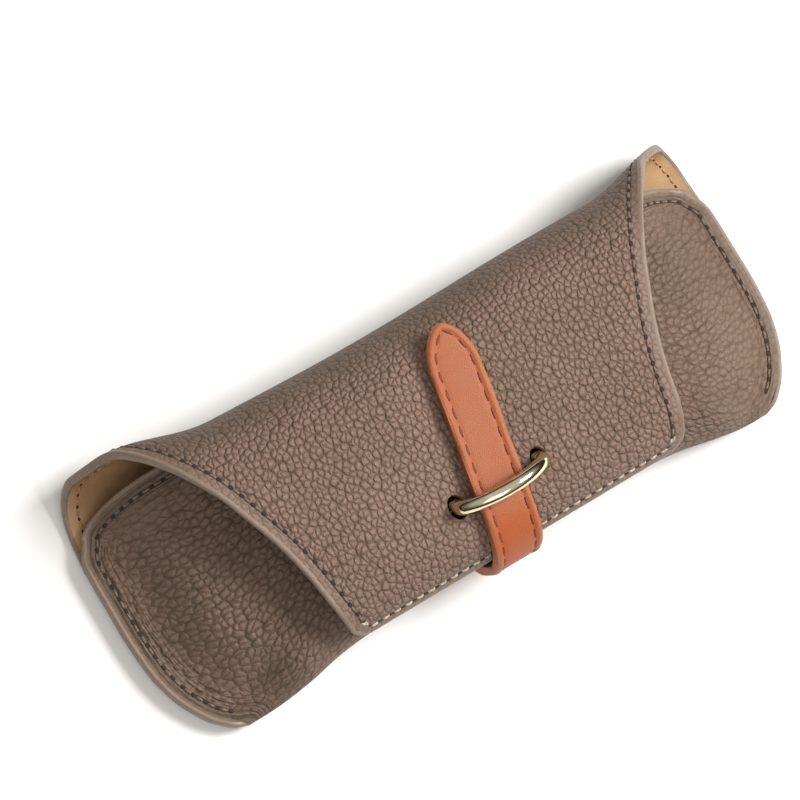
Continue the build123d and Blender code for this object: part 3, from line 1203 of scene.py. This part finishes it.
def strap_places(straight, pointed):
    """Places along the strap, closer together towards the tip."""
    before = np.linspace(0, strap_length - strap_point, straight)[:-1]
    return np.concatenate([before, strap_length - strap_point * np.linspace(1, 0, pointed) ** 2])


edge_s = strap_places(80, 60)
strap_edge = np.stack([strap_width(edge_s), edge_s], -1)
strap_rows = strap_places(84, 34)
strap_share = np.concatenate([-1 + np.array([0, 0.02, 0.05, 0.1, 0.17, 0.24, 0.29, 0.34, 0.42]),
                              np.linspace(-0.48, 0, 7)])
strap_share = np.concatenate([strap_share, -strap_share[-2::-1]])
a = strap_share[None, :] * strap_width(strap_rows)[:, None]
s = np.repeat(strap_rows[:, None], a.shape[1], axis=1)
edge = distance_to(strap_edge, a, s)
round_off = strap_round * (1 - np.sqrt(1 - (1 - np.clip(edge / strap_round, 0, 1)) ** 2))
groove = 0.34 * hump((edge - strap_stitch_in) / 0.38) + 0.22 * eased((edge - 1.7) / 0.6)
top = strap_face(a, s, strap_thick + 0.15 - round_off - groove)
under = strap_face(a, s, 0.05 + round_off * 0.8)
strap_skin = sheet("strap", top, under, np.stack([a, s], -1), edge)

# %% [markdown]
# ## Orange strap leather
# The strap is a smooth, satin leather with a fine even grain. It is lighter on its worn edges.
# Painted shade makes it deeper in the stitch line, and makes its lower half, which curves down
# round the flap's edge, darker and more saturated.

# %% Strap leather
orange = linear(164, 94, 57)
# A deeper orange for random clouds, and also painted shade for the lower half and stitch line.
orange_deep_and_shade = linear(168, 79, 29)
orange_edge = linear(170, 101, 62)


def strap_values():
    grain = cells(mapped(), {"Scale": 1.9})
    pores = noise(mapped(), 2.6, 3.0)
    cloud = noise(mapped(), 0.14, 3.0)
    edge = edge_distance()
    # Painted shade: the lower half, curving down round the flap's edge, is darker and more
    # saturated.
    lower_half_shade = mapped_along().step(38.0, 26.0)
    colour = mixed(cloud.step(0.3, 0.75) * 0.35 + lower_half_shade * 0.65, orange, orange_deep_and_shade)
    colour = mixed(edge.step(1.5, 0.3) * 0.7, colour, orange_edge)
    # Painted shade along the stitch line's groove.
    line = (edge - strap_stitch_in).step(0.45, 0.0) * edge.step(1.0, strap_stitch_in)
    colour = mixed(line * 0.6, colour, orange_deep_and_shade)
    return {
        "Base Color": colour,
        "Roughness": 0.46 + pores * 0.14,
        "Specular IOR Level": 0.45,
        "Normal": bumped(grain.step(0.0, 0.3) * 0.5 + pores, 0.07),
    }


strap_leather = surface("strap_leather", strap_values)
strap_line = sideways(both_sides(strap_edge), strap_stitch_in)
strap_sewing = sewn(
    "strap_stitches", strap_stitch, strap_shadow_slot, strap_face, -1, strap_line, 4.3,
    rust_thread, -0.16,
)

# %% [markdown]
# ## Ring and ring tab
# The ring is a bent wire with a pale gold plating. Its solid is already right, so only its
# finish changes. The tab that holds its bar is a strip of tan leather sewn inside the flap.

# %% Ring metal and tab
def ring_values():
    haze = speckled(260.0, 3.0)
    return {
        "Base Color": mixed(haze.step(0.3, 0.7), linear(236, 228, 202), linear(216, 206, 172)),
        "Metallic": 1.0,
        "Roughness": 0.07 + haze * 0.06,
    }


plated = surface("pale_gold", ring_values)
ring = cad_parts["ring"]
ring.data.materials.clear()
ring.data.materials.append(plated)

tab_low, tab_high = (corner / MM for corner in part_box("ring_tab"))
print("ring tab box, mm:", [round(v, 1) for v in (*tab_low, *tab_high)])

tab_half = 4.0
tab_thick = 0.9
tab_gap = 0.05
bar_s = hole_s - 0.85
bar_rise = 3.5
bar_half = 2.1
a, s = np.meshgrid(np.linspace(-tab_half, tab_half, 13),
                   np.linspace(bar_s - 10.2, bar_s + 12.6, 48))
lift = wall + bar_rise * hump((s - bar_s) / bar_half)


def under_flap(a, s, depth):
    """Points under the flap's outer face at a depth, without the dimples."""
    y, z, run_y, run_z = followed(fold_line, s, 0.1)
    return np.stack([a, y - depth * run_z, z + depth * run_y], -1)


edge = np.minimum(tab_half - np.abs(a), np.minimum(s - s.min(), s.max() - s))
tab_skin = sheet("ring_tab_skin", under_flap(a, s, lift + tab_thick),
                 under_flap(a, s, lift + tab_gap), np.stack([a, s], -1), edge)

# %% [markdown]
# ## Give the finishes and attach some pieces to bodies
# Every piece gets its material, and a piece that stands for solids hides them. The pocket's
# pieces follow the case and the ring tab follows the flap. The lengths of the fold and the strap
# only have their transforms applied, and follow no body.

# %% Finishes and bodies
def dressed(piece, material, slot, *nodes):
    """Give a piece its finish if it has none and hide its nodes' solids; the slot is not used."""
    if not piece.data.materials:
        piece.data.materials.append(material)
    if nodes:
        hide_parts(*nodes)


dressed(pocket_leather, creased_shaded_leather, "grained_leather", "body_leather")
dressed(pocket_lining, lining_leather, "lining_leather", "body_lining")
dressed(pocket_bead, edge_paint, "grained_leather")
dressed(pocket_stitches, brown_thread, "grained_leather")
for piece in (pocket_leather, pocket_lining, pocket_bead, pocket_stitches):
    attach(piece, "case")
for name, leather_node, lining_node, low_body, high_body, start, end in (
    ("roll_lower", "fold_leather_lower", "fold_lining_lower",
     "case", "fold_lower", (0, 0.0225, 0.0006), (0, 0.0297, 0.0098)),
    ("roll_back", "fold_leather_upper", "fold_lining_upper",
     "fold_lower", "fold_upper", (0, 0.0295, 0.0106), (0, 0.0295, 0.0159)),
    ("flap", "flap_leather", "flap_lining",
     "fold_upper", "flap", (0, 0.0292, 0.0200), (0, 0.0140, 0.0338)),
):
    dressed(fold_leathers[name], pebbled, "grained_leather", leather_node)
    dressed(fold_linings[name], lining_leather, "lining_leather", lining_node)
    dressed(fold_beads[name], edge_paint, "grained_leather")
    dressed(seam_parts[name], brown_thread, "grained_leather")
    for piece in (fold_leathers[name], fold_linings[name], fold_beads[name], seam_parts[name]):
        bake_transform(piece)
dressed(strap_skin, strap_leather, "strap_leather",
        "strap_face", "strap_backing", "strap_root_face", "strap_root_backing")
dressed(strap_sewing, rust_thread, "strap_leather")
for piece in (strap_skin, strap_sewing):
    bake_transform(piece)
dressed(tab_skin, lining_leather, "lining_leather", "ring_tab")
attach(tab_skin, "flap")

# %% [markdown]
# ## Floor and light
# The case lies on a pale floor, which is only a stage. One large soft lamp stands at the upper
# right, as in the photograph, and a weaker one fills from the left. The world is pale above and
# warm and dark at the horizon, which the ring and the painted edges reflect.

# %% Floor, lamps and world
floor_drop = 0.25 * MM
bpy.ops.mesh.primitive_plane_add(size=6, location=(0, 0, -floor_drop))
floor = bpy.context.object
floor.name = "floor"


def floor_values():
    return {
        "Base Color": mixed(speckled(3.0), linear(244, 243, 241), linear(247, 246, 245)),
        "Roughness": 0.85,
        "Specular IOR Level": 0.2,
    }


floor.data.materials.append(surface("pale_floor", floor_values))


def lamp(name, place, size, power):
    """A square soft lamp that points at the middle of the case."""
    data = bpy.data.lights.new(name, "AREA")
    data.shape = "SQUARE"
    data.size = size
    data.energy = power
    made = placed(name, data)
    made.location = place
    aim = Vector((0, 0, 0.01)) - Vector(place)
    made.rotation_euler = aim.to_track_quat("-Z", "Y").to_euler()


lamp("key", (0.8, -0.1, 0.95), 0.45, 17.5)
lamp("fill", (-0.3, -0.6, 1.1), 0.9, 3.5)
world = bpy.data.worlds.new("world")
bpy.context.scene.world = world
world.use_nodes = True
Wire.tree = world.node_tree
upwards = Wire.node("SeparateXYZ", {}, {0: Wire.node("TexCoord", {}, {})}, 2)
sky = mixed(upwards.step(0.2, 0.8), linear(80, 68, 54), linear(255, 252, 247))
backdrop = world.node_tree.nodes["Background"]
world.node_tree.links.new(sky.socket, backdrop.inputs["Color"])
backdrop.inputs["Strength"].default_value = 0.6
bpy.context.scene.view_settings.view_transform = "Standard"
